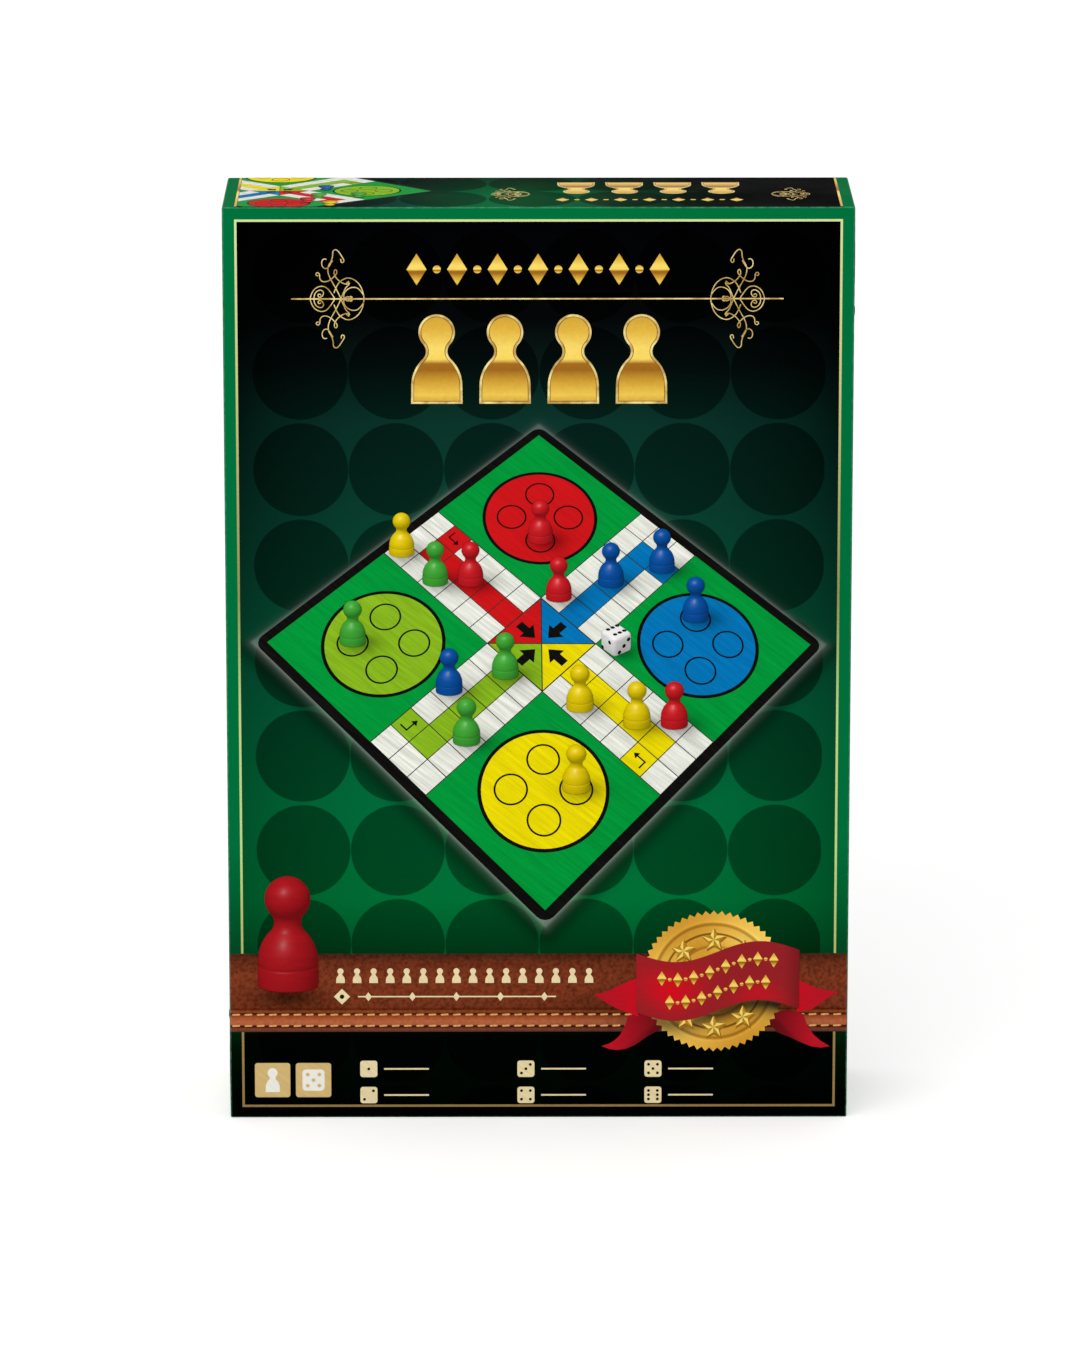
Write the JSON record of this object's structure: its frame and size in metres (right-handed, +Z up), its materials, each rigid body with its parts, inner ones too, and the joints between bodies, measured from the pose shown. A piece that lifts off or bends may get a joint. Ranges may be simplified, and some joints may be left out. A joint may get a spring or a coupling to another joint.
{
  "type": "board game box",
  "caption": "Upright two-piece ludo game carton: deep printed lid over a base with a formed tray that holds a folding board, coloured pawns, a die and a rules leaflet.",
  "frame": {"origin": "bottom centre of the closed box, on the surface it stands on", "axes": "+Z up, the printed front faces -Y, +X to the right as seen from the front"},
  "size_m": [0.267, 0.076, 0.4],
  "materials": {
    "greyboard": "matte",
    "corner_tape": "matte",
    "printed_wrap": "gloss film laminate",
    "tray_plastic": "satin",
    "board_core": "matte",
    "board_cover": "linen embossed",
    "board_print": "satin",
    "fold_cloth": "matte",
    "leaflet_paper": "matte",
    "die_plastic": "polished",
    "red_lacquered_wood": "gloss lacquer",
    "green_lacquered_wood": "gloss lacquer",
    "blue_lacquered_wood": "gloss lacquer",
    "yellow_lacquered_wood": "gloss lacquer"
  },
  "bodies": {
    "base": {"base_board": "greyboard", "base_corner_stays": "corner_tape", "base_wrap": "printed_wrap", "insert_tray": "tray_plastic"},
    "lid": {"lid_board": "greyboard", "lid_corner_stays": "corner_tape", "lid_wrap": "printed_wrap"},
    "board": {"right_leaf_core": "board_core", "right_leaf_cover": "board_cover", "right_leaf_face": "board_print", "fold_strip": "fold_cloth"},
    "board_flap": {"left_leaf_core": "board_core", "left_leaf_cover": "board_cover", "left_leaf_face": "board_print"},
    "leaflet": {"rules_leaflet": "leaflet_paper"},
    "loose_die": {"die": "die_plastic"},
    "red_pawn_1_body": {"red_pawn_1": "red_lacquered_wood"},
    "red_pawn_2_body": {"red_pawn_2": "red_lacquered_wood"},
    "red_pawn_3_body": {"red_pawn_3": "red_lacquered_wood"},
    "red_pawn_4_body": {"red_pawn_4": "red_lacquered_wood"},
    "green_pawn_1_body": {"green_pawn_1": "green_lacquered_wood"},
    "green_pawn_2_body": {"green_pawn_2": "green_lacquered_wood"},
    "green_pawn_3_body": {"green_pawn_3": "green_lacquered_wood"},
    "green_pawn_4_body": {"green_pawn_4": "green_lacquered_wood"},
    "blue_pawn_1_body": {"blue_pawn_1": "blue_lacquered_wood"},
    "blue_pawn_2_body": {"blue_pawn_2": "blue_lacquered_wood"},
    "blue_pawn_3_body": {"blue_pawn_3": "blue_lacquered_wood"},
    "blue_pawn_4_body": {"blue_pawn_4": "blue_lacquered_wood"},
    "yellow_pawn_1_body": {"yellow_pawn_1": "yellow_lacquered_wood"},
    "yellow_pawn_2_body": {"yellow_pawn_2": "yellow_lacquered_wood"},
    "yellow_pawn_3_body": {"yellow_pawn_3": "yellow_lacquered_wood"},
    "yellow_pawn_4_body": {"yellow_pawn_4": "yellow_lacquered_wood"}
  },
  "joints": [
    {"name": "lid_off", "type": "slide", "parent": "base", "child": "lid", "axis": [0, -1, 0], "range_m": [0, 0.58]},
    {"name": "board_out", "type": "slide", "parent": "base", "child": "board", "axis": [0, -1, 0], "range_m": [0, 0.093]},
    {"name": "board_unfold", "type": "hinge", "parent": "board", "child": "board_flap", "pos_m": [-0.075, -0.03065, 0.2], "axis": [0, 0, -1], "range_deg": [0, 180]},
    {"name": "leaflet_out", "type": "slide", "parent": "base", "child": "leaflet", "axis": [0, -1, 0], "range_m": [0, 0.064]},
    {"name": "die_out", "type": "slide", "parent": "base", "child": "loose_die", "axis": [0, -1, 0], "range_m": [0, 0.041]},
    {"name": "red_pawn_1_out", "type": "slide", "parent": "base", "child": "red_pawn_1_body", "axis": [0, -1, 0], "range_m": [0, 0.041]},
    {"name": "red_pawn_2_out", "type": "slide", "parent": "base", "child": "red_pawn_2_body", "axis": [0, -1, 0], "range_m": [0, 0.041]},
    {"name": "red_pawn_3_out", "type": "slide", "parent": "base", "child": "red_pawn_3_body", "axis": [0, -1, 0], "range_m": [0, 0.041]},
    {"name": "red_pawn_4_out", "type": "slide", "parent": "base", "child": "red_pawn_4_body", "axis": [0, -1, 0], "range_m": [0, 0.041]},
    {"name": "green_pawn_1_out", "type": "slide", "parent": "base", "child": "green_pawn_1_body", "axis": [0, -1, 0], "range_m": [0, 0.041]},
    {"name": "green_pawn_2_out", "type": "slide", "parent": "base", "child": "green_pawn_2_body", "axis": [0, -1, 0], "range_m": [0, 0.041]},
    {"name": "green_pawn_3_out", "type": "slide", "parent": "base", "child": "green_pawn_3_body", "axis": [0, -1, 0], "range_m": [0, 0.041]},
    {"name": "green_pawn_4_out", "type": "slide", "parent": "base", "child": "green_pawn_4_body", "axis": [0, -1, 0], "range_m": [0, 0.041]},
    {"name": "blue_pawn_1_out", "type": "slide", "parent": "base", "child": "blue_pawn_1_body", "axis": [0, -1, 0], "range_m": [0, 0.041]},
    {"name": "blue_pawn_2_out", "type": "slide", "parent": "base", "child": "blue_pawn_2_body", "axis": [0, -1, 0], "range_m": [0, 0.041]},
    {"name": "blue_pawn_3_out", "type": "slide", "parent": "base", "child": "blue_pawn_3_body", "axis": [0, -1, 0], "range_m": [0, 0.041]},
    {"name": "blue_pawn_4_out", "type": "slide", "parent": "base", "child": "blue_pawn_4_body", "axis": [0, -1, 0], "range_m": [0, 0.041]},
    {"name": "yellow_pawn_1_out", "type": "slide", "parent": "base", "child": "yellow_pawn_1_body", "axis": [0, -1, 0], "range_m": [0, 0.041]},
    {"name": "yellow_pawn_2_out", "type": "slide", "parent": "base", "child": "yellow_pawn_2_body", "axis": [0, -1, 0], "range_m": [0, 0.041]},
    {"name": "yellow_pawn_3_out", "type": "slide", "parent": "base", "child": "yellow_pawn_3_body", "axis": [0, -1, 0], "range_m": [0, 0.041]},
    {"name": "yellow_pawn_4_out", "type": "slide", "parent": "base", "child": "yellow_pawn_4_body", "axis": [0, -1, 0], "range_m": [0, 0.041]}
  ],
  "couplings": [
    {"joint": "board_out", "follows": "lid_off", "ratio": 0.16},
    {"joint": "board_unfold", "follows": "lid_off", "rad_per_m": 5.4165},
    {"joint": "leaflet_out", "follows": "lid_off", "ratio": 0.11},
    {"joint": "die_out", "follows": "lid_off", "ratio": 0.07},
    {"joint": "red_pawn_1_out", "follows": "lid_off", "ratio": 0.07},
    {"joint": "red_pawn_2_out", "follows": "lid_off", "ratio": 0.07},
    {"joint": "red_pawn_3_out", "follows": "lid_off", "ratio": 0.07},
    {"joint": "red_pawn_4_out", "follows": "lid_off", "ratio": 0.07},
    {"joint": "green_pawn_1_out", "follows": "lid_off", "ratio": 0.07},
    {"joint": "green_pawn_2_out", "follows": "lid_off", "ratio": 0.07},
    {"joint": "green_pawn_3_out", "follows": "lid_off", "ratio": 0.07},
    {"joint": "green_pawn_4_out", "follows": "lid_off", "ratio": 0.07},
    {"joint": "blue_pawn_1_out", "follows": "lid_off", "ratio": 0.07},
    {"joint": "blue_pawn_2_out", "follows": "lid_off", "ratio": 0.07},
    {"joint": "blue_pawn_3_out", "follows": "lid_off", "ratio": 0.07},
    {"joint": "blue_pawn_4_out", "follows": "lid_off", "ratio": 0.07},
    {"joint": "yellow_pawn_1_out", "follows": "lid_off", "ratio": 0.07},
    {"joint": "yellow_pawn_2_out", "follows": "lid_off", "ratio": 0.07},
    {"joint": "yellow_pawn_3_out", "follows": "lid_off", "ratio": 0.07},
    {"joint": "yellow_pawn_4_out", "follows": "lid_off", "ratio": 0.07}
  ]
}
